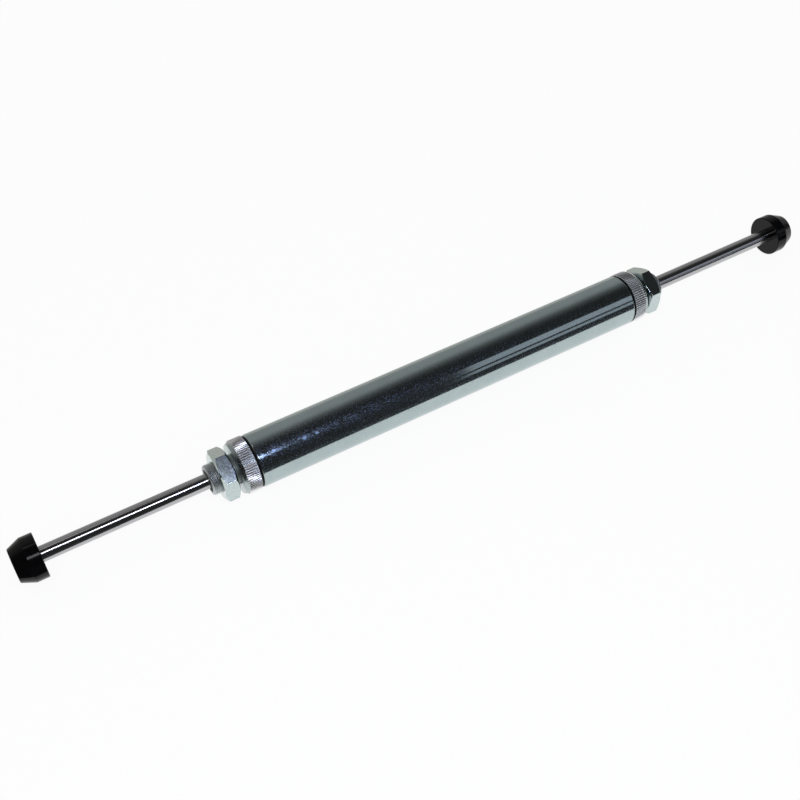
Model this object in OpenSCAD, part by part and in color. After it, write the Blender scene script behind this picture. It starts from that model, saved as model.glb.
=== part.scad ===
// Double-ended hydraulic shock absorber: a sealed tube with a through rod and a rubber buffer on each rod end.
// The axis lies along X. The origin is on the axis, at the middle of the tube.

/* [Tube] */
// Outer diameter of the tube
tube_d = 28; // [26:0.5:32]
// Inner diameter of the tube, which the piston runs in
tube_bore = 24; // [22:0.5:24]
// Length of the tube
tube_l = 226; // [210:1:260]
// Length of the wider threaded stretch inside each tube end
tube_thread_l = 15; // [15:0.5:18]

/* [End caps] */
// Diameter over the knurl of each end cap
knurl_d = 28.4; // [27.6:0.1:32]
// Number of teeth round the knurl
knurl_teeth = 72; // [48:1:90]
// Depth of the knurl
knurl_depth = 0.35; // [0.2:0.05:0.5]
// Length of the knurl along the axis
knurl_l = 6.9; // [5:0.1:10]
// Length of the chamfer outside the knurl
cap_chamfer_l = 1.7; // [0.6:0.1:2]
// Diameter of the flat end face that a bracket sits on
seat_d = 26; // [24:0.1:26.5]
// Diameter of the threaded stub
stub_d = 16; // [15:0.5:18]
// Length of the threaded stub
stub_l = 14.2; // [13.5:0.1:20]
// Thickness of the gasket between tube and cap
gasket_t = 1.1; // [0.5:0.1:1.5]

/* [Lock nuts] */
// Width across flats of the lock nuts
nut_af = 24; // [22:0.5:27]
// Thickness of the lock nuts
nut_t = 7.8; // [6:0.1:8]
// Gap between each cap's seat and its nut
nut_gap = 2.05; // [0.5:0.05:5]

/* [Rod] */
// Diameter of the piston rod
rod_d = 8; // [6:0.5:8.5]
// Length of bare rod between each stub and its buffer
rod_bare_l = 83.5; // [50:0.5:90]
// Diameter of the threaded rod ends
rod_end_d = 6; // [4:0.5:6]

/* [Buffers] */
// Largest diameter of the rubber buffers
buffer_d = 22.5; // [18:0.5:30]
// Diameter of the buffers' end face
buffer_face_d = 16.8; // [12:0.1:17.5]
// Length of each buffer
buffer_l = 13; // [12.5:0.5:20]
// Length of the straight part of each buffer
buffer_straight_l = 6.3; // [4:0.1:7]

/* [Gland] */
// Diameter of the seal housing inside each cap
gland_d = 16; // [14:0.5:17]
// Length of each guide bush
bush_l = 9.2; // [8:0.1:9.5]
// Length of each rod seal
seal_l = 5; // [4:0.1:5]
// Thickness of the support washers
washer_t = 1; // [0.8:0.1:1]
// Depth of the wiper's seat in the stub's mouth
wiper_l = 3.5; // [2.5:0.1:4]
// Radial running clearance of the rod in its bushes
rod_clearance = 0.03; // [0.01:0.01:0.1]

/* [Piston] */
// Length of the piston
piston_l = 14; // [12:0.5:16]
// Radial gap between the piston and the tube
piston_gap = 0.35; // [0.3:0.05:0.6]
// Width of the piston ring
ring_w = 4; // [3:0.1:5]
// Number of flow passages through the piston
passages = 6; // [4:2:8]
// Diameter of the flow passages
passage_d = 2; // [1:0.1:2.4]

/* [Hidden] */
$fn = 96;
eps = 0.05;

zinc = [0.72, 0.77, 0.76];
chrome = [0.62, 0.62, 0.64];
rubber = [0.07, 0.07, 0.08];
bronze = [0.66, 0.5, 0.3];
seal_green = [0.16, 0.3, 0.22];
ptfe = [0.86, 0.84, 0.78];
spring_steel = [0.32, 0.33, 0.35];

// Radii
tube_r = tube_d / 2;
bore_r = tube_bore / 2;
thread_r = bore_r + 0.5;
knurl_r = knurl_d / 2;
root_r = knurl_r - knurl_depth;
core_r = root_r - 0.6;
stub_r = stub_d / 2;
rod_r = rod_d / 2;
rod_end_r = rod_end_d / 2;
gland_r = gland_d / 2;
passage_r = (bore_r + rod_r) / 2;

// Places along the axis, for the right-hand end
x_tube = tube_l / 2;
x_ring = x_tube + gasket_t;
x_knurl = x_ring + knurl_l;
x_seat = x_knurl + cap_chamfer_l;
x_tip = x_seat + stub_l;
x_nut = x_seat + nut_gap;
x_spigot = x_tube - tube_thread_l + 0.5;
x_buffer = x_tip + rod_bare_l;
x_end = x_buffer + buffer_l;

// The seal stack, from its shoulder inwards
x_shoulder = x_tube + 3.2;
x_seal = x_shoulder - seal_l;
x_washer = x_seal - washer_t;
x_bush = x_washer - bush_l;
clip_t = 1;
x_clip = x_bush - clip_t;
clip_depth = 0.4;

// The rod end inside its buffer
rod_entry = 1;
insert_l = 9;
insert_r = 5;
insert_waist_r = 4.3;
x_insert = x_buffer + rod_entry;

// The piston's own pieces
disc_t = 0.5;
piston_clip_t = 0.8;
rod_groove_r = rod_r - 0.25;
x_piston = piston_l / 2;
x_disc = x_piston + disc_t;
ring_groove_depth = 1.2;
ring_play = 0.05;
o_ring_r = 0.8;
o_ring_gland = 1.4;

// Turns a closed outline of [x, radius] points about the X axis.
module turned(outline) {
    rotate([0, 90, 0])
        rotate_extrude()
            polygon([for (p = outline) [p[1], p[0]]]);
}

// A drilling along the X axis.
module drill(x, d, l, y = 0, z = 0) {
    translate([x, y, z])
        rotate([0, 90, 0])
            cylinder(h = l, d = d);
}

// A flat ring from x to x + t.
module washer(x, t, r_in, r_out) {
    turned([[x, r_in], [x, r_out], [x + t, r_out], [x + t, r_in]]);
}

// Outline of the knurl: flat-topped teeth with sloping flanks.
function knurl_outline() =
    let (pitch = 360 / knurl_teeth)
    [for (i = [0 : knurl_teeth - 1], p = [[-0.36, root_r], [-0.18, knurl_r], [0.18, knurl_r], [0.36, root_r]])
        p[1] * [cos((i + p[0]) * pitch), sin((i + p[0]) * pitch)]];

module tube() {
    rim = 0.6;
    color(zinc)
        turned([[-x_tube, thread_r], [-x_tube, tube_r - rim], [-x_tube + rim, tube_r],
                [x_tube - rim, tube_r], [x_tube, tube_r - rim], [x_tube, thread_r],
                [x_tube - tube_thread_l, thread_r], [x_tube - tube_thread_l - 0.5, bore_r],
                [-x_tube + tube_thread_l + 0.5, bore_r], [-x_tube + tube_thread_l, thread_r]]);
}

// Spigot, core of the head, chamfer and stub in one turning, with the seal housing bored through it.
module cap_turning() {
    wiper_r = stub_r - 2;
    rod_way_r = rod_r + 0.3;
    tip_chamfer = 0.7;
    turned([[x_spigot, gland_r], [x_spigot, thread_r - 0.5], [x_spigot + 0.5, thread_r],
            [x_ring, thread_r], [x_ring, core_r], [x_knurl, core_r], [x_knurl, root_r],
            [x_seat, seat_d / 2], [x_seat, stub_r], [x_tip - tip_chamfer, stub_r],
            [x_tip, stub_r - tip_chamfer], [x_tip, wiper_r], [x_tip - wiper_l, wiper_r],
            [x_tip - wiper_l, rod_way_r], [x_shoulder, rod_way_r], [x_shoulder, gland_r],
            [x_clip + clip_t + ring_play, gland_r], [x_clip + clip_t + ring_play, gland_r + clip_depth],
            [x_clip - ring_play, gland_r + clip_depth], [x_clip - ring_play, gland_r]]);
}

module knurl() {
    translate([x_ring, 0, 0])
        rotate([0, 90, 0])
            linear_extrude(height = knurl_l)
                difference() {
                    polygon(knurl_outline());
                    circle(r = core_r - 0.3);
                }
}

module end_cap() {
    color(zinc)
        union() {
            cap_turning();
            knurl();
        }
}

module end_gasket() {
    color(rubber)
        washer(x_tube, gasket_t, thread_r, tube_r - 0.4);
}

// A hexagon with its corners up and down, turned to a 30 degree chamfer on both faces.
module lock_nut() {
    corner_r = nut_af / 2 / cos(30);
    face_r = nut_af / 2 * 0.95;
    chamfer = (corner_r + 0.2 - face_r) * tan(30);
    bore = stub_r + 0.05;
    lead = 0.5;
    color(zinc)
        intersection() {
            translate([x_nut - 1, 0, 0])
                rotate([0, 90, 0])
                    cylinder(h = nut_t + 2, r = corner_r, $fn = 6);
            turned([[x_nut, bore + lead], [x_nut, face_r], [x_nut + chamfer, corner_r + 0.2],
                    [x_nut + nut_t - chamfer, corner_r + 0.2], [x_nut + nut_t, face_r],
                    [x_nut + nut_t, bore + lead], [x_nut + nut_t - lead, bore], [x_nut + lead, bore]]);
        }
}

// The wiper's lip leans outwards, to the rod.
module wiper() {
    r_out = stub_r - 2;
    x0 = x_tip - wiper_l;
    color(rubber)
        turned([[x0, rod_r + 0.8], [x0, r_out], [x_tip - 0.3, r_out], [x_tip - 0.3, r_out - 0.7],
                [x_tip - 1.3, rod_r + 0.7], [x_tip - 0.4, rod_r + 0.35], [x_tip - 0.4, rod_r + eps],
                [x_tip - 1.2, rod_r + eps]]);
}

// A lip seal, with the groove between its lips facing the oil.
module rod_seal() {
    lip = 1;
    depth = seal_l * 0.55;
    mid_r = (rod_r + gland_r) / 2;
    color(seal_green)
        turned([[x_seal, rod_r + eps + 0.3], [x_seal, rod_r + lip + 0.2], [x_seal + depth, mid_r - 0.4],
                [x_seal + depth, mid_r + 0.4], [x_seal, gland_r - lip], [x_seal, gland_r],
                [x_shoulder, gland_r], [x_shoulder, rod_r + eps + 0.2], [x_seal + 0.6, rod_r + eps]]);
}

module support_washer() {
    color(spring_steel)
        washer(x_washer, washer_t, rod_r + 0.3, gland_r);
}

module guide_bush() {
    lead = 0.5;
    r_in = rod_r + rod_clearance;
    color(bronze)
        turned([[x_bush, r_in + lead], [x_bush, gland_r - lead], [x_bush + lead, gland_r],
                [x_washer, gland_r], [x_washer, r_in + lead], [x_washer - lead, r_in], [x_bush + lead, r_in]]);
}

// A retaining ring lying across the X axis: a band between two circles with lugs, a gap and two pliers holes.
module circlip(x, t, r_in, r_out, lug_r, lug_at, hole_d, gap) {
    translate([x, 0, 0])
        rotate([0, 90, 0])
            linear_extrude(height = t)
                difference() {
                    union() {
                        difference() {
                            circle(r = r_out);
                            circle(r = r_in);
                        }
                        for (s = [-1, 1])
                            translate([lug_at, s * (gap / 2 + lug_r * 0.7)])
                                circle(r = lug_r);
                    }
                    translate([0, -gap / 2])
                        square([r_out + 2 * lug_r, gap]);
                    for (s = [-1, 1])
                        translate([lug_at, s * (gap / 2 + lug_r * 0.7)])
                            circle(d = hole_d);
                }
}

module gland_circlip() {
    color(spring_steel)
        circlip(x_clip, clip_t, gland_r - 0.9, gland_r + clip_depth, 1.1, gland_r - 1.3, 1, 3);
}

module piston_circlip() {
    color(spring_steel)
        circlip(x_disc, piston_clip_t, rod_groove_r, rod_r + 1, 0.9, rod_r + 1, 0.8, 2);
}

// Chromed rod with threaded ends and a groove for the circlip on each side of the piston.
module piston_rod() {
    edge = 0.3;
    x_rod_end = x_insert + insert_l - 0.5;
    half = [[x_disc, rod_r], [x_disc, rod_groove_r], [x_disc + piston_clip_t + ring_play, rod_groove_r],
            [x_disc + piston_clip_t + ring_play, rod_r], [x_insert - edge, rod_r], [x_insert, rod_r - edge],
            [x_insert, rod_end_r], [x_rod_end - edge, rod_end_r], [x_rod_end, rod_end_r - edge], [x_rod_end, 0]];
    last = len(half) - 1;
    color(chrome)
        turned(concat(half, [for (i = [last : -1 : 0]) [-half[i][0], half[i][1]]]));
}

module piston() {
    r = bore_r - piston_gap;
    groove_r = r - ring_groove_depth;
    groove = ring_w / 2 + ring_play;
    o_groove = o_ring_r + 0.3;
    edge = 0.5;
    color(zinc)
        difference() {
            turned([[-x_piston, rod_r], [-x_piston, r - edge], [-x_piston + edge, r], [-groove, r],
                    [-groove, groove_r], [groove, groove_r], [groove, r], [x_piston - edge, r],
                    [x_piston, r - edge], [x_piston, rod_r], [o_groove, rod_r],
                    [o_groove, rod_r + o_ring_gland], [-o_groove, rod_r + o_ring_gland], [-o_groove, rod_r]]);
            flow_passages(-x_piston - 1, piston_l + 2, passage_d, 1);
        }
}

// Every step-th flow passage, counted from the first.
module flow_passages(x, l, d, step, first = 0) {
    for (i = [first : step : passages - 1])
        drill(x, d, l, passage_r * cos(i * 360 / passages), passage_r * sin(i * 360 / passages));
}

// A split sliding ring between the piston and the tube.
module piston_ring() {
    split = 0.6;
    color(ptfe)
        difference() {
            washer(-ring_w / 2, ring_w, bore_r - piston_gap - ring_groove_depth + 0.3, bore_r - rod_clearance);
            translate([-ring_w, -split / 2, bore_r - 2.5])
                cube([2 * ring_w, split, 3]);
        }
}

// Pressed flat against the rod and the floor of its groove.
module piston_o_ring() {
    color(rubber)
        rotate([0, 90, 0])
            rotate_extrude()
                translate([rod_r + o_ring_gland / 2, 0])
                    intersection() {
                        circle(r = o_ring_r, $fn = 48);
                        square([o_ring_gland, 2 * o_ring_r], center = true);
                    }
}

// A thin shim that closes every other passage and leaves the rest open.
module valve_disc(first) {
    color(spring_steel)
        difference() {
            washer(x_piston, disc_t, rod_r, passage_r + passage_d / 2 + 0.8);
            flow_passages(x_piston - 1, disc_t + 2, passage_d + 0.6, 2, first);
        }
}

// Rubber buffer, straight towards the rod and tapered to its end face, moulded round its insert.
module buffer() {
    edge = 0.3;
    r = buffer_d / 2;
    waist = 2.6;
    x_cone = x_buffer + buffer_straight_l;
    x_in_end = x_insert + insert_l;
    color(rubber)
        turned([[x_buffer, rod_r], [x_buffer, r - edge], [x_buffer + edge, r], [x_cone, r],
                [x_end - edge, buffer_face_d / 2 + edge / 2], [x_end, buffer_face_d / 2 - edge / 2], [x_end, 0],
                [x_in_end, 0], [x_in_end, insert_r], [x_in_end - waist, insert_r],
                [x_in_end - waist, insert_waist_r], [x_insert + waist, insert_waist_r],
                [x_insert + waist, insert_r], [x_insert, insert_r], [x_insert, rod_r]]);
}

module buffer_insert() {
    waist = 2.6;
    x_in_end = x_insert + insert_l;
    color(bronze)
        turned([[x_insert, rod_end_r], [x_insert, insert_r], [x_insert + waist, insert_r],
                [x_insert + waist, insert_waist_r], [x_in_end - waist, insert_waist_r],
                [x_in_end - waist, insert_r], [x_in_end, insert_r], [x_in_end, rod_end_r]]);
}

module left() {
    mirror([1, 0, 0])
        children();
}

tube();
left() end_cap();  // left_end_cap
end_cap();  // right_end_cap
left() end_gasket();  // left_end_gasket
end_gasket();  // right_end_gasket
left() lock_nut();  // left_lock_nut
lock_nut();  // right_lock_nut
left() wiper();  // left_wiper
wiper();  // right_wiper
left() rod_seal();  // left_rod_seal
rod_seal();  // right_rod_seal
left() support_washer();  // left_support_washer
support_washer();  // right_support_washer
left() guide_bush();  // left_guide_bush
guide_bush();  // right_guide_bush
left() gland_circlip();  // left_gland_circlip
gland_circlip();  // right_gland_circlip
piston_rod();
piston();
piston_ring();
piston_o_ring();
left() valve_disc(0);  // left_valve_disc
valve_disc(1);  // right_valve_disc
left() piston_circlip();  // left_piston_circlip
piston_circlip();  // right_piston_circlip
left() buffer();  // left_buffer
buffer();  // right_buffer
left() buffer_insert();  // left_buffer_insert
buffer_insert();  // right_buffer_insert
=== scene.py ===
import math

import bmesh
import bpy
from bpy.props import FloatProperty, IntProperty, PointerProperty, StringProperty
from mathutils import Matrix, Vector


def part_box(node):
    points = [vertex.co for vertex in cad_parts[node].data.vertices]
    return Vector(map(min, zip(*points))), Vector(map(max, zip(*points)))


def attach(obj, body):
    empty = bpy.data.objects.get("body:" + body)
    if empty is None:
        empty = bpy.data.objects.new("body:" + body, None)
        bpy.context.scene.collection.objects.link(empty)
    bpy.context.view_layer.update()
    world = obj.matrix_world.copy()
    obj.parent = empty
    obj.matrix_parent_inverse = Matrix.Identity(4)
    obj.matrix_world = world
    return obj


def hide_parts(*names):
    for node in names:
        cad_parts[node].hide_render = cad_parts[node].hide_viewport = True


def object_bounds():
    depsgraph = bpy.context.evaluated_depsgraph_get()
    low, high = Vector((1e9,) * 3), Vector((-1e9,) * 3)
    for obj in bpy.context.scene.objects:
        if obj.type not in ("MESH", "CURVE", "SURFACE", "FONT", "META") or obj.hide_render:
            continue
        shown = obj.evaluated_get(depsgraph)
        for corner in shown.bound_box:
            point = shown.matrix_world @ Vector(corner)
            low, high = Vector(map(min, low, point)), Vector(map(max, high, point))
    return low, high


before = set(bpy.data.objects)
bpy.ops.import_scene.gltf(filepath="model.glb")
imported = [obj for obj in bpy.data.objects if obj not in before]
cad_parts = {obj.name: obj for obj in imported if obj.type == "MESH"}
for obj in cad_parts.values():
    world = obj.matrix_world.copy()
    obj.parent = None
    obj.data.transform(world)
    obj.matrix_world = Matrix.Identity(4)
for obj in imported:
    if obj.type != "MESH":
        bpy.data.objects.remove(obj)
CAD_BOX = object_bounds()

bl_info = {
    "name": "Industrial shock absorber",
    "version": (1, 0, 0),
    "blender": (4, 5, 0),
    "location": "3D View > Sidebar > Shock absorber",
    "description": "Dresses the packed solids of a double-ended hydraulic shock absorber",
    "category": "Object",
}

MM = 0.001
SMOOTH_UNDER = math.radians(32)   # edges sharper than this stay sharp
FINE = 96                         # columns round a turned piece
ARC_STEP = math.radians(24)       # one facet of a rounded corner
ARC_SHARE = 0.45                  # the most of a side that the arc at one of its ends takes
HOLD = 0.12 * MM                  # keeps a flat face flat beside a rounded corner
MERGE = 0.002 * MM                # points closer than this are one
ON_AXIS = 1e-9                    # a circle smaller than this is a pole


# -------- turned shapes

def rounded(corners):
    """Turns corners (x, radius, fillet) of a closed outline into points, with an arc at each filleted corner."""
    points = []
    for i, (x, r, fillet) in enumerate(corners):
        here = Vector((x, r))
        before = Vector(corners[i - 1][:2]) - here
        after = Vector(corners[(i + 1) % len(corners)][:2]) - here
        if not fillet:
            points.append(here)
            continue
        half = before.angle(after) / 2
        reach = min(fillet / math.tan(half), ARC_SHARE * before.length, ARC_SHARE * after.length)
        radius = reach * math.tan(half)
        centre = here + (before.normalized() + after.normalized()).normalized() * (radius / math.sin(half))
        first = here + before.normalized() * reach
        last = here + after.normalized() * reach
        steps = max(2, math.ceil((math.pi - 2 * half) / ARC_STEP))
        sweep = (first - centre).angle_signed(last - centre)
        arc = [centre + Matrix.Rotation(-sweep * k / steps, 2) @ (first - centre) for k in range(steps + 1)]
        hold_in = min(HOLD, (before.length - reach) / 4)
        hold_out = min(HOLD, (after.length - reach) / 4)
        points.append(first + before.normalized() * hold_in)
        points += arc
        points.append(last + after.normalized() * hold_out)
    return points


def even(count):
    """Angles of that many columns round the axis, counted from +Y towards +Z."""
    return [2 * math.pi * k / count for k in range(count)]


def ring(shape, x, radius, angles):
    """One circle of vertices round the X axis; x and radius are numbers, or functions of the angle."""
    found = []
    for a in angles:
        at = x(a) if callable(x) else x
        r = radius(a) if callable(radius) else radius
        found.append(shape.verts.new((at, r * math.cos(a), r * math.sin(a))))
    return found


def band(shape, a, b):
    """Faces between two circles with the same columns; a circle of one vertex is a pole."""
    columns = max(len(a), len(b))
    for k in range(columns):
        j = (k + 1) % columns
        if len(a) == 1:
            shape.faces.new((a[0], b[j], b[k]))
        elif len(b) == 1:
            shape.faces.new((a[k], a[j], b[0]))
        else:
            shape.faces.new((a[k], a[j], b[j], b[k]))


def zipper(shape, a, angles_a, b, angles_b):
    """Triangles between two circles with different columns."""
    i = j = 0
    while i < len(a) or j < len(b):
        next_a = angles_a[i + 1] if i + 1 < len(a) else angles_a[0] + 2 * math.pi
        next_b = angles_b[j + 1] if j + 1 < len(b) else angles_b[0] + 2 * math.pi
        va, vb = a[i % len(a)], b[j % len(b)]
        if j >= len(b) or (i < len(a) and next_a <= next_b):
            shape.faces.new((va, a[(i + 1) % len(a)], vb))
            i += 1
        else:
            shape.faces.new((va, b[(j + 1) % len(b)], vb))
            j += 1


def turn(shape, points, angles, closed=True):
    """Turns a line of (x, radius) points about the X axis and returns its circles."""
    rings = [ring(shape, x, r, angles) if r > ON_AXIS else [shape.verts.new((x, 0, 0))] for x, r in points]
    for a, b in zip(rings, rings[1:]):
        if len(a) > 1 or len(b) > 1:
            band(shape, a, b)
    if closed and len(rings[0]) > 1 and len(rings[-1]) > 1:
        band(shape, rings[-1], rings[0])
    return rings


def sided(side, shape):
    """The right end's shape, turned half a turn about Z for the left end, so its thread stays right-handed."""
    if side == "left":
        bmesh.ops.transform(shape, matrix=Matrix.Rotation(math.pi, 4, "Z"), verts=shape.verts)
    return shape


def linked(name, data):
    """A new object with that data, in the scene."""
    made = bpy.data.objects.new(name, data)
    bpy.context.scene.collection.objects.link(made)
    return made


def piece(name, shape, material):
    """A finished object from a closed shape: doubles merged, faces outwards, smooth but for its true edges."""
    bmesh.ops.remove_doubles(shape, verts=shape.verts, dist=MERGE)
    bmesh.ops.dissolve_degenerate(shape, edges=shape.edges, dist=MERGE / 4)
    bmesh.ops.recalc_face_normals(shape, faces=shape.faces)
    open_edges = [e for e in shape.edges if len(e.link_faces) != 2]
    if open_edges:
        raise RuntimeError(f"{name} has {len(open_edges)} edges that don't join two faces")
    mesh = bpy.data.meshes.new(name)
    shape.to_mesh(mesh)
    shape.free()
    mesh.shade_smooth()
    mesh.set_sharp_from_angle(angle=SMOOTH_UNDER)
    mesh.materials.append(material)
    return linked(name, mesh)


# -------- nodes

def add(tree, kind, inputs=None, **settings):
    """Adds a node with its settings; inputs maps a socket's name or number to a value or a socket to link."""
    made = tree.nodes.new(kind)
    for key, value in settings.items():
        setattr(made, key, value)
    for key, value in (inputs or {}).items():
        if isinstance(value, bpy.types.NodeSocket):
            tree.links.new(value, made.inputs[key])
        else:
            made.inputs[key].default_value = value
    return made


def calc(tree, operation, *values, clamp=False):
    """The result of a Math node."""
    return add(tree, "ShaderNodeMath", dict(enumerate(values)), operation=operation, use_clamp=clamp).outputs[0]


def linear(text):
    """An sRGB hex colour as linear RGBA."""
    parts = [int(text[i:i + 2], 16) / 255 for i in (1, 3, 5)]
    return tuple(c / 12.92 if c <= 0.04045 else ((c + 0.055) / 1.055) ** 2.4 for c in parts) + (1.0,)


def emptied(owner):
    """The node tree of a new material or world, with nothing in it."""
    owner.use_nodes = True
    owner.node_tree.nodes.clear()
    return owner.node_tree


def geometry_tree(name, inputs):
    """A Geometry Nodes tree with these inputs (name, socket type, default), and the sockets that give them."""
    tree = bpy.data.node_groups.new(name, "GeometryNodeTree")
    tree.interface.new_socket("Geometry", in_out="OUTPUT", socket_type="NodeSocketGeometry")
    for label, kind, default in inputs:
        socket = tree.interface.new_socket(label, in_out="INPUT", socket_type=kind)
        if default is not None:
            socket.default_value = default
    return tree, add(tree, "NodeGroupInput").outputs


def close_tree(tree, geometry, material):
    """Ends a tree in Realize Instances, a merge of doubles and Set Material."""
    real = add(tree, "GeometryNodeRealizeInstances", {0: geometry})
    merged = add(tree, "GeometryNodeMergeByDistance", {"Geometry": real.outputs[0], "Distance": MERGE / 4})
    done = add(tree, "GeometryNodeSetMaterial", {"Geometry": merged.outputs[0], "Material": material})
    add(tree, "NodeGroupOutput", {0: done.outputs[0]})
    return tree


def grown(tree, values):
    """Runs a Geometry Nodes tree with these input values and returns its mesh as a bmesh."""
    holder = linked("grown", bpy.data.meshes.new("grown"))
    modifier = holder.modifiers.new("grown", "NODES")
    modifier.node_group = tree
    for item in tree.interface.items_tree:
        if item.in_out == "INPUT" and item.name in values:
            modifier[item.identifier] = values[item.name]
    bpy.context.view_layer.update()
    evaluated = holder.evaluated_get(bpy.context.evaluated_depsgraph_get())
    mesh = bpy.data.meshes.new_from_object(evaluated)
    bpy.data.objects.remove(holder)
    shape = bmesh.new()
    shape.from_mesh(mesh)
    bpy.data.meshes.remove(mesh)
    return shape


def pour(source, target):
    """Adds one bmesh to another and frees it."""
    mesh = bpy.data.meshes.new("poured")
    source.to_mesh(mesh)
    source.free()
    target.from_mesh(mesh)
    bpy.data.meshes.remove(mesh)


ROOT_AT = 0.46        # where a tooth's flank starts, as a share of the pitch from its middle
FLANK_AT = 0.2        # where the flank ends and the rounded crest starts
FLANK_HEIGHT = 0.73   # height of that place, as a share of the depth
CREST_STEPS = 8


def tooth_outline():
    """One knurl tooth as (share of the pitch, share of the depth): straight flanks under a rounded crest."""
    crest = [FLANK_AT * (2 * k / CREST_STEPS - 1) for k in range(CREST_STEPS + 1)]
    rounded_crest = [(u, 1 - (1 - FLANK_HEIGHT) * (u / FLANK_AT) ** 2) for u in crest]
    return [(-ROOT_AT, 0.0), *rounded_crest, (ROOT_AT, 0.0)]


TOOTH = tooth_outline()


def pick(tree, index, choices):
    """The choice with that number; a choice is a number or a socket."""
    switch = add(tree, "GeometryNodeIndexSwitch", {"Index": index}, data_type="FLOAT")
    while len(switch.index_switch_items) < len(choices):
        switch.index_switch_items.new()
    for k, value in enumerate(choices, 1):
        if isinstance(value, bpy.types.NodeSocket):
            tree.links.new(value, switch.inputs[k])
        else:
            switch.inputs[k].default_value = value
    return switch.outputs[0]


def wrapped(tree, grid, x, radius, angle):
    """Lays a grid's points at those places along and round the X axis."""
    spot = add(tree, "ShaderNodeCombineXYZ", {
        "X": x,
        "Y": calc(tree, "MULTIPLY", radius, calc(tree, "COSINE", angle)),
        "Z": calc(tree, "MULTIPLY", radius, calc(tree, "SINE", angle)),
    })
    return add(tree, "GeometryNodeSetPosition", {"Geometry": grid.outputs[0], "Position": spot.outputs[0]})


def knurl_tree():
    """A straight knurl: one tooth, repeated round the X axis. Each tooth runs out to the root at both ends."""
    tree, given = geometry_tree("Straight knurl", [
        ("Teeth", "NodeSocketInt", 72),
        ("Root radius", "NodeSocketFloat", 13.78 * MM),
        ("Tip radius", "NodeSocketFloat", 14.2 * MM),
        ("Start", "NodeSocketFloat", 0.0),
        ("Length", "NodeSocketFloat", 6.9 * MM),
        ("Inner run-out", "NodeSocketFloat", 0.2 * MM),
        ("Outer run-out", "NodeSocketFloat", 0.35 * MM),
        ("Material", "NodeSocketMaterial", None),
    ])
    next_root = (1 + TOOTH[0][0], 0.0)
    outline = [*TOOTH, next_root]
    columns, rows = len(outline), 4
    grid = add(tree, "GeometryNodeMeshGrid", {"Vertices X": rows, "Vertices Y": columns})
    index = add(tree, "GeometryNodeInputIndex").outputs[0]
    column = calc(tree, "FLOORED_MODULO", index, columns)
    row = calc(tree, "FLOOR", calc(tree, "DIVIDE", index, columns))
    pitch = calc(tree, "DIVIDE", 2 * math.pi, given["Teeth"])
    across_tooth = pick(tree, column, [u for u, _ in outline])
    height = pick(tree, column, [h for _, h in outline])
    runs_out = calc(tree, "SUBTRACT", given["Length"], given["Outer run-out"])
    along = pick(tree, row, [0.0, given["Inner run-out"], runs_out, given["Length"]])
    full = pick(tree, row, [0.0, 1.0, 1.0, 0.0])
    depth = calc(tree, "SUBTRACT", given["Tip radius"], given["Root radius"])
    rise = calc(tree, "MULTIPLY", calc(tree, "MULTIPLY", height, full), depth)
    radius = calc(tree, "ADD", given["Root radius"], rise)
    angle = calc(tree, "MULTIPLY", across_tooth, pitch)
    tooth = wrapped(tree, grid, calc(tree, "ADD", given["Start"], along), radius, angle)
    points = add(tree, "GeometryNodePoints", {"Count": given["Teeth"]})
    which = add(tree, "GeometryNodeInputIndex").outputs[0]
    turned = add(tree, "ShaderNodeCombineXYZ", {"X": calc(tree, "MULTIPLY", which, pitch)})
    teeth = add(tree, "GeometryNodeInstanceOnPoints", {
        "Points": points.outputs[0], "Instance": tooth.outputs[0], "Rotation": turned.outputs[0],
    })
    return close_tree(tree, teeth.outputs[0], given["Material"])


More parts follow.
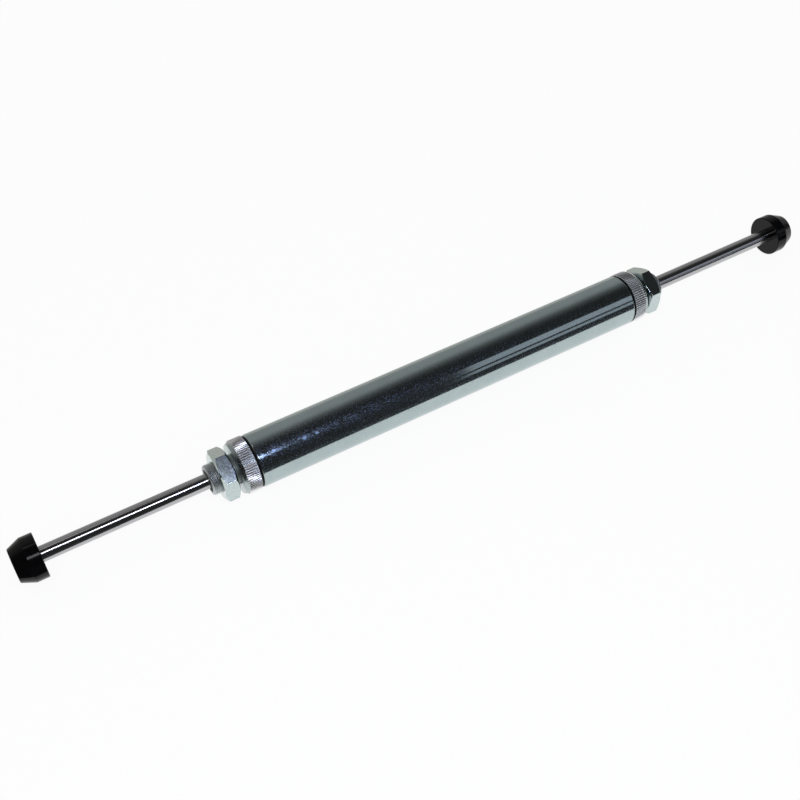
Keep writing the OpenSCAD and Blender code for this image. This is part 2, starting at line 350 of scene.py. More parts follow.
def thread_tree():
    """A right-handed screw thread: a sleeve of rows and columns that rises along a helix, with an undercut at its
    start and a chamfer at its end."""
    tree, given = geometry_tree("Screw thread", [
        ("Start", "NodeSocketFloat", 0.0),
        ("Length", "NodeSocketFloat", 14.2 * MM),
        ("Crest radius", "NodeSocketFloat", 7.97 * MM),
        ("Root radius", "NodeSocketFloat", 7.43 * MM),
        ("Pitch", "NodeSocketFloat", 1.0 * MM),
        ("Tip chamfer", "NodeSocketFloat", 0.7 * MM),
        ("Undercut", "NodeSocketFloat", 0.8 * MM),
        ("Run-out", "NodeSocketFloat", 0.4 * MM),
        ("Rows", "NodeSocketInt", 228),
        ("Columns", "NodeSocketInt", FINE),
        ("Material", "NodeSocketMaterial", None),
    ])
    grid = add(tree, "GeometryNodeMeshGrid", {
        "Size X": 1.0, "Size Y": 1.0, "Vertices X": given["Rows"],
        "Vertices Y": calc(tree, "ADD", given["Columns"], 1),
    })
    flat = add(tree, "ShaderNodeSeparateXYZ", {0: add(tree, "GeometryNodeInputPosition").outputs[0]}).outputs
    along = calc(tree, "MULTIPLY", calc(tree, "ADD", flat["X"], 0.5), given["Length"])
    lap = calc(tree, "ADD", flat["Y"], 0.5)
    turns = calc(tree, "SUBTRACT", calc(tree, "DIVIDE", along, given["Pitch"]), lap)
    wave = calc(tree, "SUBTRACT", calc(tree, "MULTIPLY", calc(tree, "FRACT", turns), 2.0), 1.0)
    ridge = calc(tree, "SUBTRACT", 1.0, calc(tree, "ABSOLUTE", wave))
    # a metric thread is flat over an eighth of its pitch at the crest and a quarter at the root
    crest_flat, root_flat = 1 / 8, 1 / 4
    above_root = calc(tree, "SUBTRACT", ridge, root_flat)
    height = calc(tree, "DIVIDE", above_root, 1 - crest_flat - root_flat, clamp=True)
    past = calc(tree, "SUBTRACT", along, given["Undercut"])
    runout = calc(tree, "DIVIDE", past, given["Run-out"], clamp=True)
    depth = calc(tree, "SUBTRACT", given["Crest radius"], given["Root radius"])
    rise = calc(tree, "MULTIPLY", calc(tree, "MULTIPLY", height, runout), depth)
    cut = calc(tree, "ADD", given["Root radius"], rise)
    tip = calc(tree, "ADD", calc(tree, "SUBTRACT", given["Crest radius"], given["Tip chamfer"]),
               calc(tree, "SUBTRACT", given["Length"], along))
    radius = calc(tree, "MINIMUM", cut, tip)
    angle = calc(tree, "MULTIPLY", lap, 2 * math.pi)
    sleeve = wrapped(tree, grid, calc(tree, "ADD", given["Start"], along), radius, angle)
    return close_tree(tree, sleeve.outputs[0], given["Material"])


# -------- finishes

MIDDLE = 0.3, 0.7          # the range that nearly all of a noise's values lie in
PLATE_CLOUDS = -6          # 8-bit steps by which clouds darken the plate
SCUFFED = 0.3              # how far a scuff lowers the level over which crystals show
WORN = "#F4F5F7", 0.35     # tint and roughness of the teeth's crests, burnished by the rolling
AS_CUT = "#C8CECE", 0.5    # tint and roughness of the thread, dull as it was cut
BLEND_OVER = 0.1 * MM      # width of the step from one such zone to the next


def new_material(name, **constants):
    """A material with one Principled shader; constants go on the shader's own sockets."""
    made = bpy.data.materials.new(name)
    tree = emptied(made)
    shader = add(tree, "ShaderNodeBsdfPrincipled", {k.replace("_", " "): v for k, v in constants.items()})
    add(tree, "ShaderNodeOutputMaterial", {0: shader.outputs[0]})
    return made, tree, shader


def grains(tree, size, detail=2.0, stretch=(1, 1, 1)):
    """Noise in object space whose grains are about size metres across, drawn out where stretch is over 1."""
    where = add(tree, "ShaderNodeTexCoord").outputs["Object"]
    scaled = add(tree, "ShaderNodeVectorMath", {0: where, 1: tuple(1 / (size * s) for s in stretch)},
                 operation="MULTIPLY")
    noise = add(tree, "ShaderNodeTexNoise", {"Vector": scaled.outputs[0], "Scale": 1.0, "Detail": detail})
    return noise.outputs["Fac"]


def between(tree, value, low, high, to_low=0.0, to_high=1.0):
    """value, stretched from low..high to to_low..to_high and held there."""
    return add(tree, "ShaderNodeMapRange", {"Value": value, "From Min": low, "From Max": high,
                                            "To Min": to_low, "To Max": to_high}).outputs[0]


def blend_colours(tree, share, first, second):
    """first where share is 0, second where it is 1; a colour is a hex or a socket."""
    fill = [linear(c) if isinstance(c, str) else c for c in (first, second)]
    return add(tree, "ShaderNodeMix", {0: share, 6: fill[0], 7: fill[1]}, data_type="RGBA").outputs[2]


def bumped(tree, shader, height, depth, strength=1.0):
    """Feeds the shader's normal with relief of that depth in metres; strength fades it."""
    relief = add(tree, "ShaderNodeBump", {"Height": height, "Distance": depth, "Strength": strength})
    tree.links.new(relief.outputs[0], shader.inputs["Normal"])


def share_over(part):
    """The level that the noise is over on that share of a surface; its values lie bell-shaped round a half."""
    return 0.5 + 0.22 * (1 - 2 * part)


def zinc_plate(name, plate, crystal, share, smooth, rough, relief, grain=0.24 * MM, soft=0.04,
               scuffs=(), worn_beyond=None, cut_within=None):
    """Bright zinc plate with a clear blue passivation. The plate mirrors the room, and its coarser crystals
    scatter a lamp into a bluish sparkle. share is how much of the surface they cover where they are few and where
    they are many, smooth and rough are the roughness between and on them, grain is their size, soft is how gently
    they fade into the plate, and relief is how far they stand out of it. Past the radius worn_beyond the rolled
    teeth are burnished, and inside cut_within the thread is left as cut."""
    made, tree, shader = new_material(name, Metallic=1.0)
    where = add(tree, "ShaderNodeTexCoord").outputs["Object"]
    fine = grains(tree, grain, detail=1.0)   # real crystals are 0.05 mm; drawn at the size that still shows
    patches = between(tree, grains(tree, 0.9 * MM), 0.35, 0.65)   # where the crystals crowd
    few, many = share
    level = between(tree, patches, 0, 1, share_over(few), share_over(many))
    for at, radius in scuffs:
        away = add(tree, "ShaderNodeVectorMath", {0: where, 1: at}, operation="DISTANCE").outputs["Value"]
        level = calc(tree, "SUBTRACT", level, between(tree, away, radius, 0.1 * radius, 0, SCUFFED))
    mask = between(tree, fine, calc(tree, "SUBTRACT", level, soft), calc(tree, "ADD", level, soft))
    cloud = between(tree, grains(tree, 14 * MM, detail=1.0), *MIDDLE)
    tint = blend_colours(tree, mask, blend_colours(tree, cloud, plate, lighter(plate, PLATE_CLOUDS)), crystal)
    roughness = between(tree, mask, 0, 1, smooth, rough)
    strength = 1.0
    if worn_beyond and cut_within:
        flat = add(tree, "ShaderNodeVectorMath", {0: where, 1: (0, 1, 1)}, operation="MULTIPLY").outputs[0]
        radius = add(tree, "ShaderNodeVectorMath", {0: flat}, operation="LENGTH").outputs["Value"]
        worn = between(tree, radius, worn_beyond, worn_beyond + BLEND_OVER)
        cut = between(tree, radius, cut_within, cut_within - BLEND_OVER)
        for zone, its_tint, its_roughness in ((worn, *WORN), (cut, *AS_CUT)):
            tint = blend_colours(tree, zone, tint, its_tint)
            roughness = add(tree, "ShaderNodeMix", {0: zone, 2: roughness, 3: its_roughness}).outputs[0]
        strength = calc(tree, "SUBTRACT", 1.0, worn)
    tree.links.new(tint, shader.inputs["Base Color"])
    tree.links.new(roughness, shader.inputs["Roughness"])
    bumped(tree, shader, fine, relief, strength)
    return made


def lighter(text, steps):
    """A hex colour with that many 8-bit steps added to each channel."""
    return "#" + "".join(f"{max(0, min(255, int(text[i:i + 2], 16) + steps)):02X}" for i in (1, 3, 5))


def ground_chrome(name, colour):
    """Hard chrome on a centreless-ground rod: the grinding runs round it, so a lamp draws out along it."""
    made, tree, shader = new_material(name, Metallic=1.0, Anisotropic=0.85, Anisotropic_Rotation=0.25)
    tangent = add(tree, "ShaderNodeTangent", direction_type="RADIAL", axis="X")
    tree.links.new(tangent.outputs[0], shader.inputs["Tangent"])
    # real grinding lines are 0.02 mm apart; drawn as coarse as they need to be to show
    lines = grains(tree, 0.25 * MM, stretch=(1, 24, 24))
    tree.links.new(blend_colours(tree, lines, colour, lighter(colour, 4)), shader.inputs["Base Color"])
    tree.links.new(between(tree, lines, *MIDDLE, 0.18, 0.2), shader.inputs["Roughness"])
    return made


def moulded_rubber(name, colour, gloss):
    """Moulded rubber: dark, with the soft gloss of a polished mould and a fine bloom that dulls it in patches."""
    made, tree, shader = new_material(name, IOR=1.45, Specular_IOR_Level=0.22)
    bloom = grains(tree, 3.5 * MM, detail=3.0)
    skin = grains(tree, 0.3 * MM)
    tree.links.new(blend_colours(tree, between(tree, bloom, 0.4, 0.75), colour, lighter(colour, 5)),
                   shader.inputs["Base Color"])
    tree.links.new(between(tree, bloom, *MIDDLE, gloss - 0.04, gloss + 0.06), shader.inputs["Roughness"])
    bumped(tree, shader, skin, 0.006 * MM)
    return made


def machined(name, colour, roughness, metallic=1.0):
    """Turned metal or plastic: rings of tool marks round the axis."""
    made, tree, shader = new_material(name, Metallic=metallic)
    marks = grains(tree, 0.12 * MM, stretch=(1, 20, 20))
    tree.links.new(blend_colours(tree, marks, colour, lighter(colour, 14)), shader.inputs["Base Color"])
    tree.links.new(between(tree, marks, *MIDDLE, roughness - 0.05, roughness + 0.06), shader.inputs["Roughness"])
    bumped(tree, shader, marks, 0.004 * MM)
    return made


# -------- settings

def size(label, value, about):
    """A length in metres that a user may change."""
    return FloatProperty(name=label, description=about, default=value, min=0.0, precision=5,
                         subtype="DISTANCE", unit="LENGTH")


def amount(label, value, about):
    """A plain number that a user may change."""
    return FloatProperty(name=label, description=about, default=value, min=0.0)


def colour(label, value, about):
    """An sRGB hex colour that a user may change."""
    return StringProperty(name=label, description=about, default=value, maxlen=7)


TUBE_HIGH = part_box("tube")[1]
CAP_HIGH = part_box("right_end_cap")[1]
NUT_LOW, NUT_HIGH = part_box("right_lock_nut")
BUFFER_LOW, BUFFER_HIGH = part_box("right_buffer")
ROD_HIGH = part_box("piston_rod")[1]
GASKET_LOW, GASKET_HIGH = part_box("right_end_gasket")
WIPER_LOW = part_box("right_wiper")[0]


class TubeSettings(bpy.types.PropertyGroup):
    half_length: size("Half length", TUBE_HIGH.x, "From the middle of the tube to its end")
    radius: size("Radius", TUBE_HIGH.y, "Outer radius of the tube")
    bore: size("Bore radius", 12 * MM, "Radius that the piston runs in")
    thread_bore: size("Threaded bore radius", 12.5 * MM, "Radius of the wider stretch inside each end")
    thread_depth: size("Threaded depth", 15 * MM, "Length of the wider stretch inside each end")
    rim: size("Rim radius", 0.7 * MM, "Rounding of the tube's outer rim")
    plate: colour("Plate", "#B2C0BE", "Zinc plate where it mirrors")
    crystal: colour("Crystals", "#9FB1CC", "Zinc crystals where they scatter light")


class CapSettings(bpy.types.PropertyGroup):
    tip: size("Tip", CAP_HIGH.x, "Place of the stub's end along the axis")
    knurl_radius: size("Knurl radius", 14.2 * MM, "Radius over the knurl's teeth")
    knurl_depth: size("Knurl depth", 0.42 * MM, "Depth of the knurl")
    knurl_length: size("Knurl length", 6.9 * MM, "Length of the knurl along the axis")
    teeth: IntProperty(name="Teeth", description="Teeth round the knurl", default=72, min=24, max=120)
    chamfer: size("Chamfer length", 1.7 * MM, "Length of the chamfer outside the knurl")
    seat_radius: size("Seat radius", 13 * MM, "Radius of the flat face that a bracket sits on")
    stub_radius: size("Stub radius", 8 * MM, "Radius of the stub over its thread")
    stub_length: size("Stub length", 14.2 * MM, "Length of the threaded stub")
    pitch: size("Pitch", 1.0 * MM, "Pitch of the stub's thread")
    plate: colour("Plate", "#B4C0BE", "Zinc plate where it mirrors")
    crystal: colour("Crystals", "#B4BCC8", "Zinc crystals where they scatter light")


class NutSettings(bpy.types.PropertyGroup):
    start: size("Start", NUT_LOW.x, "Place of the nut's inner face along the axis")
    thickness: size("Thickness", NUT_HIGH.x - NUT_LOW.x, "Thickness of the nut")
    across_flats: size("Across flats", 2 * NUT_HIGH.y, "Width across flats")
    bore: size("Bore radius", 8.05 * MM, "Radius of the bore over the stub's thread")
    edge: size("Edge rounding", 0.14 * MM, "Rounding of the nut's edges")
    plate: colour("Plate", "#C8D5D1", "Zinc plate where it mirrors")
    crystal: colour("Crystals", "#B6C3CC", "Zinc crystals where they scatter light")


class RodSettings(bpy.types.PropertyGroup):
    half_length: size("Half length", ROD_HIGH.x, "From the middle of the rod to its end")
    radius: size("Radius", ROD_HIGH.y, "Radius of the rod")
    end_radius: size("End radius", 3 * MM, "Radius of the rod's ends inside the buffers")
    end_length: size("End length", 8.5 * MM, "Length of the rod's ends inside the buffers")
    chrome: colour("Chrome", "#B7B7B9", "Hard chrome")


class BufferSettings(bpy.types.PropertyGroup):
    start: size("Start", BUFFER_LOW.x, "Place of the buffer's inner face along the axis")
    length: size("Length", BUFFER_HIGH.x - BUFFER_LOW.x, "Length of the buffer")
    radius: size("Radius", BUFFER_HIGH.y, "Largest radius of the buffer")
    face_radius: size("Face radius", 8.4 * MM, "Radius of the end face")
    straight: size("Straight length", 6.3 * MM, "Length of the straight part")
    rubber: colour("Rubber", "#050506", "Buffer rubber")


class StageSettings(bpy.types.PropertyGroup):
    lamp_width: size("Long lamp width", 0.32, "Size of the long lamp along the shock absorber")
    lamp_height: size("Long lamp height", 0.11, "Size of the long lamp across the shock absorber")
    lamp_power: amount("Long lamp power", 0.68, "Power of the long lamp, in watts")
    key_power: amount("Key lamp power", 0.085, "Power of the bluish lamp that the left end mirrors, in watts")
    edge_power: amount("Edge lamp power", 0.24, "Power of the narrow lamp that the left knurl mirrors, in watts")
    sky: amount("Room light", 0.68, "Strength of the even light round the set")
    floor: colour("Floor", "#F7F7F7", "Floor and backdrop")


class ShockSettings(bpy.types.PropertyGroup):
    tube: PointerProperty(type=TubeSettings)
    cap: PointerProperty(type=CapSettings)
    nut: PointerProperty(type=NutSettings)
    rod: PointerProperty(type=RodSettings)
    buffer: PointerProperty(type=BufferSettings)
    stage: PointerProperty(type=StageSettings)


# -------- pieces

SIDES = ("left", "right")
# scuffs (place, radius) along the front of the tube's left half, where handling has rubbed the plate
SCUFFS = (((-0.0876, -0.0083, 0.0113), 1.3 * MM), ((-0.0807, -0.0083, 0.0113), 1.0 * MM),
          ((-0.1040, -0.0080, 0.0115), 1.2 * MM), ((-0.1105, -0.0082, 0.0113), 1.6 * MM))
THREAD_DEPTH = 0.5413   # of the pitch, from crest to root of a metric screw
THREAD_ROWS = 16        # for each turn of the thread


class MakeTube(bpy.types.Operator):
    """Make the plated tube with its rounded rims"""
    bl_idname = "shock.make_tube"
    bl_label = "Tube"

    def execute(self, context):
        s = context.scene.shock.tube
        half, inner = s.half_length, s.half_length - s.thread_depth
        step = s.thread_bore - s.bore
        lead = 0.15 * MM
        outline = rounded([
            (-half, s.thread_bore, lead), (-half, s.radius, s.rim), (half, s.radius, s.rim),
            (half, s.thread_bore, lead), (inner, s.thread_bore, 0), (inner - step, s.bore, 0),
            (step - inner, s.bore, 0), (-inner, s.thread_bore, 0),
        ])
        shape = bmesh.new()
        turn(shape, outline, even(FINE))
        finish = zinc_plate("bright_zinc_on_drawn_tube", s.plate, s.crystal, share=(0.05, 0.36), smooth=0.075,
                            rough=0.4, relief=0.0018 * MM, scuffs=SCUFFS)
        made = piece("plated_tube", shape, finish)
        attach(made, "housing")
        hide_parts("tube")
        return {"FINISHED"}


class MakeEndCaps(bpy.types.Operator):
    """Make the knurled end caps with their threaded stubs"""
    bl_idname = "shock.make_end_caps"
    bl_label = "End caps"

    def execute(self, context):
        s = context.scene.shock.cap
        finish = zinc_plate("bright_zinc_on_turned_cap", s.plate, s.crystal, share=(0.1, 0.4), smooth=0.14,
                            rough=0.4, relief=0.0012 * MM, worn_beyond=s.knurl_radius - 0.9 * s.knurl_depth,
                            cut_within=s.stub_radius + 0.1 * MM)
        root = s.knurl_radius - s.knurl_depth
        seat = s.tip - s.stub_length
        knurl_end = seat - s.chamfer
        head = knurl_end - s.knurl_length
        knurl = {"Teeth": s.teeth, "Root radius": root, "Tip radius": s.knurl_radius, "Start": head,
                 "Length": s.knurl_length, "Inner run-out": 0.2 * MM, "Outer run-out": 0.35 * MM,
                 "Material": finish}
        crest = s.stub_radius - 0.03 * MM
        screw = {"Start": seat, "Length": s.stub_length, "Crest radius": crest,
                 "Root radius": crest - THREAD_DEPTH * s.pitch, "Pitch": s.pitch, "Tip chamfer": 0.67 * MM,
                 "Undercut": 0.1 * MM, "Run-out": 0.35 * MM,
                 "Rows": int(THREAD_ROWS * s.stub_length / s.pitch), "Columns": FINE, "Material": finish}
        trees = knurl_tree(), thread_tree()
        columns = even(FINE)
        toothed = [2 * math.pi * (k + u) / s.teeth for k in range(s.teeth) for u, _ in TOOTH]
        inner_join, seat_join = 13 * MM, 12.4 * MM   # where plain circles meet toothed ones
        spigot, shoulder, wiper_seat = 98.5 * MM, 116.2 * MM, s.tip - 3.5 * MM
        clip_in, clip_out = 99.95 * MM, 101.05 * MM
        spigot_radius, gland, clip, way, mouth = 12.5 * MM, 8 * MM, 8.4 * MM, 4.3 * MM, 6 * MM
        edge = 0.15 * MM
        for side in SIDES:
            shape = bmesh.new()
            # inside line: from the head's inner face round the spigot and gland to the stub's mouth
            inside = rounded([
                (head, inner_join, 0), (head, spigot_radius, 0), (spigot, spigot_radius, 0.5 * MM),
                (spigot, gland, edge), (clip_in, gland, 0), (clip_in, clip, 0), (clip_out, clip, 0),
                (clip_out, gland, 0), (shoulder, gland, 0), (shoulder, way, 0), (wiper_seat, way, 0),
                (wiper_seat, mouth, 0), (s.tip, mouth, edge), (s.tip, crest - screw["Tip chamfer"], 0),
            ])
            first = turn(shape, inside, columns, closed=False)[0]
            # outside line: head face, knurl, chamfer and the seat's rounded edge
            foot = ring(shape, head, inner_join, toothed)
            zipper(shape, first, columns, foot, toothed)
            band(shape, foot, ring(shape, head, root, toothed))
            chamfer = rounded([(knurl_end, root, 0), (seat, s.seat_radius, 0.3 * MM), (seat, seat_join, 0)])
            rim = turn(shape, chamfer, toothed, closed=False)[-1]
            outer = ring(shape, seat, seat_join - 0.2 * MM, columns)
            zipper(shape, outer, columns, rim, toothed)
            band(shape, outer, ring(shape, seat, screw["Root radius"], columns))
            for tree, values in zip(trees, (knurl, screw)):
                pour(grown(tree, values), shape)
            made = piece(f"{side}_knurled_cap", sided(side, shape), finish)
            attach(made, "housing")
            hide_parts(f"{side}_end_cap")
        return {"FINISHED"}


class MakeSealRings(bpy.types.Operator):
    """Make the end gaskets and the wipers"""
    bl_idname = "shock.make_seal_rings"
    bl_label = "Gaskets and wipers"

    def execute(self, context):
        gasket = moulded_rubber("nitrile_gasket_rubber", "#060606", 0.6)
        wiper = moulded_rubber("nitrile_wiper_rubber", "#101112", 0.42)
        low, high = GASKET_LOW.x, GASKET_HIGH.x
        tube_bore, crown = 12.5 * MM, 0.35 * MM
        back, tip, rod = WIPER_LOW.x, CAP_HIGH.x, ROD_HIGH.y
        front, mouth, lip, running = tip - 0.3 * MM, 6 * MM, 0.12 * MM, rod + 0.05 * MM
        for side in SIDES:
            # a ring between the tube's end and the head, with a rounded crown
            shape = bmesh.new()
            turn(shape, rounded([(low, tube_bore, 0), (low, GASKET_HIGH.y, crown), (high, GASKET_HIGH.y, crown),
                                 (high, tube_bore, 0)]), even(FINE))
            made = piece(f"{side}_gasket_ring", sided(side, shape), gasket)
            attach(made, "housing")
            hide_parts(f"{side}_end_gasket")
            # a ring in the stub's mouth, with a lip that leans out to the rod
            shape = bmesh.new()
            turn(shape, rounded([
                (back, rod + 0.8 * MM, 0), (back, mouth, 0), (front, mouth, lip), (front, 5.3 * MM, lip),
                (tip - 1.3 * MM, rod + 0.7 * MM, lip), (tip - 0.4 * MM, rod + 0.35 * MM, lip),
                (tip - 0.4 * MM, running, 0), (tip - 1.2 * MM, running, 0),
            ]), even(FINE))
            made = piece(f"{side}_wiper_ring", sided(side, shape), wiper)
            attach(made, "housing")
            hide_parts(f"{side}_wiper")
        return {"FINISHED"}


class MakeNuts(bpy.types.Operator):
    """Make the chamfered hexagon nuts"""
    bl_idname = "shock.make_nuts"
    bl_label = "Lock nuts"

    def execute(self, context):
        s = context.scene.shock.nut
        # its flats are only faintly mottled, so the crystals are drawn broad and soft
        finish = zinc_plate("bright_zinc_on_nut", s.plate, s.crystal, share=(0.2, 0.5), smooth=0.123, rough=0.168,
                            relief=0.0, grain=1.1 * MM, soft=0.14)
        flat = s.across_flats / 2
        face = 0.95 * flat   # radius where the corners' chamfer meets the flat faces
        lead = 0.5 * MM
        x0, x1 = s.start, s.start + s.thickness
        slope = math.tan(math.radians(30))
        sixth = math.pi / 3
        columns = even(FINE)

        def hexagon(a):
            """The nut's radius at that angle."""
            return flat / math.cos((a + sixth / 2) % sixth - sixth / 2)

        def cone(a):
            """How far the chamfer cuts back there."""
            return (hexagon(a) - face) * slope

        for side in SIDES:
            shape = bmesh.new()
            rings = [ring(shape, x, radius, columns) for x, radius in (
                (x0 + lead, s.bore), (x0, s.bore + lead), (x0, face), (lambda a: x0 + cone(a), hexagon),
                (lambda a: x1 - cone(a), hexagon), (x1, face), (x1, s.bore + lead), (x1 - lead, s.bore))]
            for a, b in zip(rings, rings[1:] + rings[:1]):
                band(shape, a, b)
            made = piece(f"{side}_hex_nut", sided(side, shape), finish)
            bevel = made.modifiers.new("edges", "BEVEL")
            bevel.width = s.edge
            bevel.segments = 2
            bevel.limit_method = "ANGLE"
            bevel.angle_limit = math.radians(22)   # the corners' chamfer meets the flats at 30 degrees
            bevel.harden_normals = True
            bpy.context.view_layer.update()
            evaluated = made.evaluated_get(context.evaluated_depsgraph_get())
            mesh = bpy.data.meshes.new_from_object(evaluated)
            made.modifiers.clear()
            made.data = mesh
            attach(made, f"{side}_nut")
            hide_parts(f"{side}_lock_nut")
        return {"FINISHED"}


class MakeRod(bpy.types.Operator):
    """Make the chromed piston rod"""
    bl_idname = "shock.make_rod"
    bl_label = "Piston rod"

    def execute(self, context):
        s = context.scene.shock.rod
        edge = 0.3 * MM
        shoulder = s.half_length - s.end_length
        clip, clip_in, clip_out = s.radius - 0.25 * MM, 7.5 * MM, 8.35 * MM
        half = [(s.half_length, 0, 0), (s.half_length, s.end_radius, edge), (shoulder, s.end_radius, 0),
                (shoulder, s.radius, edge), (clip_out, s.radius, 0), (clip_out, clip, 0), (clip_in, clip, 0),
                (clip_in, s.radius, 0)]
        shape = bmesh.new()
        outline = rounded(half + [(-x, r, f) for x, r, f in reversed(half)])
        turn(shape, outline, even(FINE), closed=False)
        made = piece("chromed_rod", shape, ground_chrome("hard_chrome_on_ground_rod", s.chrome))
        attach(made, "rod")
        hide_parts("piston_rod")
        return {"FINISHED"}


class MakeBuffers(bpy.types.Operator):
    """Make the tapered rubber buffers"""
    bl_idname = "shock.make_buffers"
    bl_label = "Buffers"

    def execute(self, context):
        s = context.scene.shock.buffer
        finish = moulded_rubber("black_moulded_buffer_rubber", s.rubber, 0.1)
        end, cone = s.start + s.length, s.start + s.straight
        rim, dished = 2.2 * MM, end - 0.25 * MM   # the end face is dished inside its rim
        # the hollow that the insert fills: a flange at each end and a waist between
        inside, insert, waist = s.start + 1 * MM, 5 * MM, 4.3 * MM
        deep, flange = inside + 9 * MM, 2.6 * MM
        rod = ROD_HIGH.y
        for side in SIDES:
            shape = bmesh.new()
            turn(shape, rounded([
                (s.start, rod, 0), (s.start, s.radius, 0.45 * MM), (cone, s.radius, 0.5 * MM),
                (end, s.face_radius, 0.5 * MM), (dished, s.face_radius - rim, 0.6 * MM), (dished, 0, 0),
                (deep, 0, 0), (deep, insert, 0), (deep - flange, insert, 0), (deep - flange, waist, 0),
                (inside + flange, waist, 0), (inside + flange, insert, 0), (inside, insert, 0), (inside, rod, 0),
            ]), even(FINE))
            made = piece(f"{side}_rubber_buffer", sided(side, shape), finish)
            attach(made, "rod")
            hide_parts(f"{side}_buffer")
        return {"FINISHED"}


class FinishInnerParts(bpy.types.Operator):
    """Give the sealed inner parts their finishes"""
    bl_idname = "shock.finish_inner_parts"
    bl_label = "Inner parts"

    def execute(self, context):
        steel = machined("turned_bright_steel", "#9A9B9D", 0.32)
        spring = machined("phosphated_spring_steel", "#46484B", 0.48)
        bronze = machined("sintered_oil_bronze", "#9C7444", 0.45)
        brass = machined("turned_brass", "#C2A05A", 0.3)
        ptfe = machined("filled_ptfe", "#5A5348", 0.5, metallic=0.0)
        seal = moulded_rubber("green_polyurethane_seal", "#1F3F31", 0.4)
        nitrile = moulded_rubber("nitrile_o_ring_rubber", "#0D0D0E", 0.45)
        finishes = {"piston": steel, "piston_ring": ptfe, "piston_o_ring": nitrile}
        for side in SIDES:
            finishes |= {f"{side}_rod_seal": seal, f"{side}_support_washer": spring,
                         f"{side}_guide_bush": bronze, f"{side}_gland_circlip": spring,
                         f"{side}_valve_disc": spring, f"{side}_piston_circlip": spring,
                         f"{side}_buffer_insert": brass}
        for name, finish in finishes.items():
            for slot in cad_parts[name].material_slots:
                slot.material = finish
        return {"FINISHED"}


# -------- stage

WHITE = (1, 1, 1, 1)
FAR = 6.0                  # half the width of the floor
LIFTED = 0.92              # how far the floor is lifted to white where it is seen directly
TABLE_LIFT = 0.3 * MM      # the tables that the metal mirrors lie this far above the floor
BACK_EDGE = 0.05           # the grey table starts this far behind the axis
# the dark table starts in front of the axis along this line of (x, y), from the right end to the left
FRONT_EDGE = ((FAR, -0.082), (0.2, -0.082), (0.14, -0.092), (0.1, -0.09), (-0.09, -0.084), (-0.155, -0.048),
              (-0.24, -0.021), (-FAR, -0.021))
ROOM_RADIUS = 3.0
# the room's brightness, by place from the front horizon (0) over the top (0.5) to the back one (1)
ROOM_STOPS = ((0.0, 0.036), (0.1, 0.028), (0.47, 0.025), (0.53, 0.038), (0.58, 0.07), (0.63, 0.122),
              (0.68, 0.21), (0.74, 0.328), (0.8, 0.365), (1.0, 0.365))
PANE_DISTANCE, LAMP_DISTANCE = 1.0, 0.62
# bright sheets that the metal mirrors: two window panes at the right, with a bar between them, and a strip on the
# ceiling that draws a thin line on the left of the rod. For each: name, finish, lowest and highest angle from the
# front horizon in degrees, left and right end, tone
PANES = (("window_30", "window_pane_30", 29.5, 50.5, 0.42, 2.2, "#B0B4BE"),
         ("window_12", "window_pane_12", 12, 23, 0.42, 2.2, "#A6ACB6"),
         ("ceiling_strip", "ceiling_strip", 108, 117, -0.6, -0.12, "#F0E6E4"))
CAMERA_PLACE, CAMERA_AZIMUTH, CAMERA_ELEVATION = (-0.2194, -0.3265, 0.4336), -30.2525, 49.1057
SENSOR, LENS = 36, 50.03   # mm


def only_reflected(made):
    """Leaves a stage piece to reflections only, so it isn't seen and throws no shadow."""
    made.visible_camera = made.visible_diffuse = made.visible_shadow = False
    made.visible_transmission = made.visible_volume_scatter = False


def stage_sheet(name, corners, material, reflected=True):
    """A flat stage sheet, seen by reflections only unless reflected is off."""
    mesh = bpy.data.meshes.new(name)
    mesh.from_pydata([tuple(c) for c in corners], [], [tuple(range(len(corners)))])
    mesh.materials.append(material)
    made = linked(name, mesh)
    if reflected:
        only_reflected(made)


def glow(name, tone):
    """A plain light-giving surface."""
    made = bpy.data.materials.new(name)
    tree = emptied(made)
    light = add(tree, "ShaderNodeEmission", {0: linear(tone), 1: 1.0})
    add(tree, "ShaderNodeOutputMaterial", {0: light.outputs[0]})
    return made


def seen_directly(tree):
    """1 for camera, mirror and glass rays, 0 for the rays that light the object."""
    rays = add(tree, "ShaderNodeLightPath").outputs
    both = calc(tree, "MAXIMUM", rays["Is Camera Ray"], rays["Is Glossy Ray"])
    return calc(tree, "MAXIMUM", both, rays["Is Transmission Ray"])


def across(angle, distance, x):
    """A point that far from the axis, at that angle in degrees above the horizon in front of it."""
    a = math.radians(angle)
    return Vector((x, -distance * math.cos(a), distance * math.sin(a)))


def facing(thing, place, look):
    """Puts a lamp or camera there, facing along look."""
    thing.location = place
    thing.rotation_mode = "QUATERNION"
    thing.rotation_quaternion = look.to_track_quat("-Z", "Y")


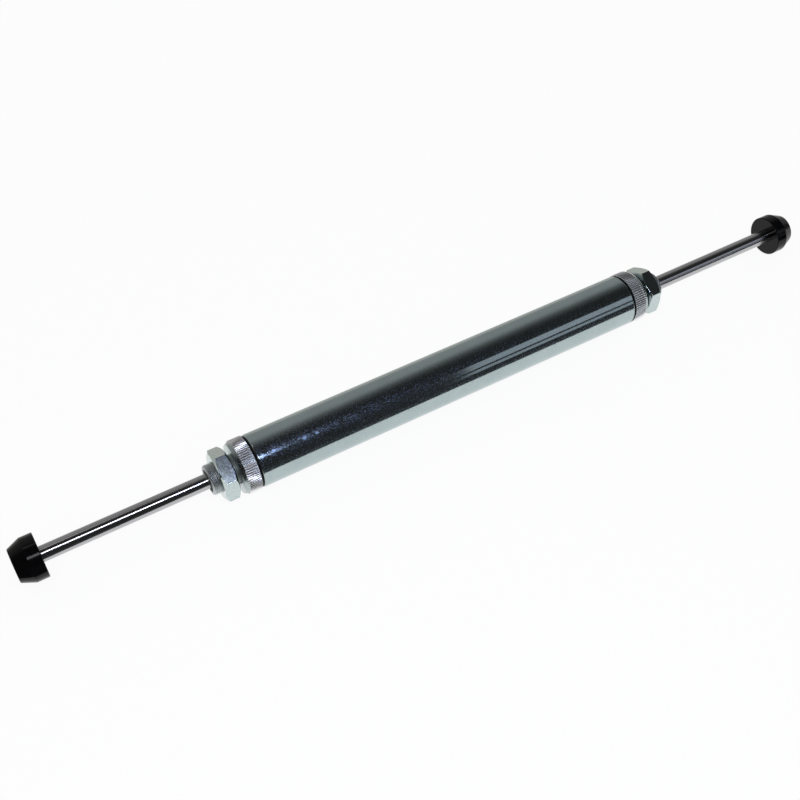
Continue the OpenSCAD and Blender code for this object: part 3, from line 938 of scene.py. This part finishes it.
def lay_floor(tone):
    """A pale floor that keeps the shadow and is lifted to white where it is seen directly. The metal mirrors only
    a strip of it: past that lie a dark table in front and a grey one behind."""
    paper = bpy.data.materials.new("pale_floor")
    tree = emptied(paper)
    matt = add(tree, "ShaderNodeBsdfDiffuse", {0: linear(tone)})
    white = add(tree, "ShaderNodeEmission", {0: WHITE, 1: 1.0})
    lifted = add(tree, "ShaderNodeMixShader", {0: calc(tree, "MULTIPLY", seen_directly(tree), LIFTED),
                                              1: matt.outputs[0], 2: white.outputs[0]})
    add(tree, "ShaderNodeOutputMaterial", {0: lifted.outputs[0]})
    ground = CAD_BOX[0].z
    stage_sheet("floor", [(-FAR, -FAR, ground), (FAR, -FAR, ground), (FAR, FAR, ground), (-FAR, FAR, ground)],
                paper, reflected=False)
    top = ground + TABLE_LIFT
    stage_sheet("front_table", [(-FAR, -FAR, top), (FAR, -FAR, top), *((x, y, top) for x, y in FRONT_EDGE)],
                glow("front_table", "#3C3D3F"))
    stage_sheet("back_table", [(-FAR, BACK_EDGE, top), (FAR, BACK_EDGE, top), (FAR, FAR, top), (-FAR, FAR, top)],
                glow("back_table", "#C6C3BD"))


def build_room():
    """The room that the metal mirrors: dark in front and overhead, grey behind, with its bright panes."""
    shape = bmesh.new()
    bmesh.ops.create_uvsphere(shape, u_segments=48, v_segments=24, radius=ROOM_RADIUS)
    mesh = bpy.data.meshes.new("room")
    shape.to_mesh(mesh)
    shape.free()
    room = linked("room", mesh)
    walls = bpy.data.materials.new("studio_walls")
    tree = emptied(walls)
    at = add(tree, "ShaderNodeSeparateXYZ", {0: add(tree, "ShaderNodeTexCoord").outputs["Object"]}).outputs
    angle = calc(tree, "ARCTAN2", at["Z"], calc(tree, "MULTIPLY", at["Y"], -1.0))
    ramp = add(tree, "ShaderNodeValToRGB", {0: calc(tree, "DIVIDE", angle, math.pi, clamp=True)})
    while len(ramp.color_ramp.elements) < len(ROOM_STOPS):
        ramp.color_ramp.elements.new(0.5)
    for element, (place, value) in zip(ramp.color_ramp.elements, ROOM_STOPS):
        element.position = place
        element.color = (value, value, value, 1)
    shine = add(tree, "ShaderNodeEmission", {0: ramp.outputs[0], 1: 1.0})
    add(tree, "ShaderNodeOutputMaterial", {0: shine.outputs[0]})
    mesh.materials.append(walls)
    only_reflected(room)
    for name, finish, low, high, x0, x1, tone in PANES:
        stage_sheet(name, [across(turned, PANE_DISTANCE, x) for turned, x in
                           ((low, x0), (low, x1), (high, x1), (high, x0))], glow(finish, tone))


def hang_lamps(s):
    """A long soft lamp over the left half, and two small bluish ones that the left end mirrors."""
    for name, width, height, power, tone, x, angle in (
            ("long_lamp", s.lamp_width, s.lamp_height, s.lamp_power, "#FAF9FF", -0.19, 59.5),
            ("key_lamp", 0.038, 0.08, s.key_power, "#86A2FF", -0.031, 58.5),
            ("edge_lamp", 0.014, 0.08, s.edge_power, "#CAD8FF", -0.012, 55)):
        data = bpy.data.lights.new(name, "AREA")
        data.shape = "RECTANGLE"
        data.size, data.size_y = width, height
        data.energy = power
        data.color = linear(tone)[:3]
        lamp = linked(name, data)
        place = across(angle, LAMP_DISTANCE, x)
        facing(lamp, place, Vector((x, 0, 0)) - place)
        lamp.visible_camera = False


def light_room(sky):
    """Even light from all round, white where it is seen directly."""
    world = bpy.context.scene.world = bpy.data.worlds.new("world")
    tree = emptied(world)
    strength = between(tree, seen_directly(tree), 0, 1, sky, 1.0)
    even_light = add(tree, "ShaderNodeBackground", {0: WHITE, 1: strength})
    add(tree, "ShaderNodeOutputWorld", {0: even_light.outputs[0]})


def set_camera():
    """The camera, in front of the left end and above it."""
    eye = bpy.data.cameras.new("camera")
    eye.sensor_width, eye.lens = SENSOR, LENS
    azimuth, elevation = math.radians(CAMERA_AZIMUTH), math.radians(CAMERA_ELEVATION)
    back = Vector((math.sin(azimuth) * math.cos(elevation), -math.cos(azimuth) * math.cos(elevation),
                   math.sin(elevation)))
    camera = linked("camera", eye)
    facing(camera, CAMERA_PLACE, -back)
    bpy.context.scene.camera = camera


class MakeStage(bpy.types.Operator):
    """Make the floor, the room that the metal mirrors, the lamps and the camera"""
    bl_idname = "shock.make_stage"
    bl_label = "Stage"

    def execute(self, context):
        s = context.scene.shock.stage
        lay_floor(s.floor)
        build_room()
        hang_lamps(s)
        light_room(s.sky)
        set_camera()
        context.scene.view_settings.view_transform = "Standard"
        return {"FINISHED"}


class ShockPanel(bpy.types.Panel):
    """Lists the pieces and their settings"""
    bl_idname = "VIEW3D_PT_shock_absorber"
    bl_label = "Shock absorber"
    bl_space_type = "VIEW_3D"
    bl_region_type = "UI"
    bl_category = "Shock absorber"

    def draw(self, context):
        settings = context.scene.shock
        for operator, group in STEPS:
            box = self.layout.box()
            box.operator(operator.bl_idname)
            if group:
                held = getattr(settings, group)
                for name in held.__annotations__:
                    box.prop(held, name)


STEPS = ((MakeTube, "tube"), (MakeEndCaps, "cap"), (MakeSealRings, None), (MakeNuts, "nut"), (MakeRod, "rod"),
         (MakeBuffers, "buffer"), (FinishInnerParts, None), (MakeStage, "stage"))
CLASSES = (TubeSettings, CapSettings, NutSettings, RodSettings, BufferSettings, StageSettings, ShockSettings,
           *(step[0] for step in STEPS), ShockPanel)


def register():
    for cls in CLASSES:
        bpy.utils.register_class(cls)
    bpy.types.Scene.shock = PointerProperty(type=ShockSettings)


def unregister():
    del bpy.types.Scene.shock
    for cls in reversed(CLASSES):
        bpy.utils.unregister_class(cls)


def main():
    register()
    for operator, _ in STEPS:
        group, name = operator.bl_idname.split(".")
        getattr(getattr(bpy.ops, group), name)()


if __name__ == "__main__":
    main()
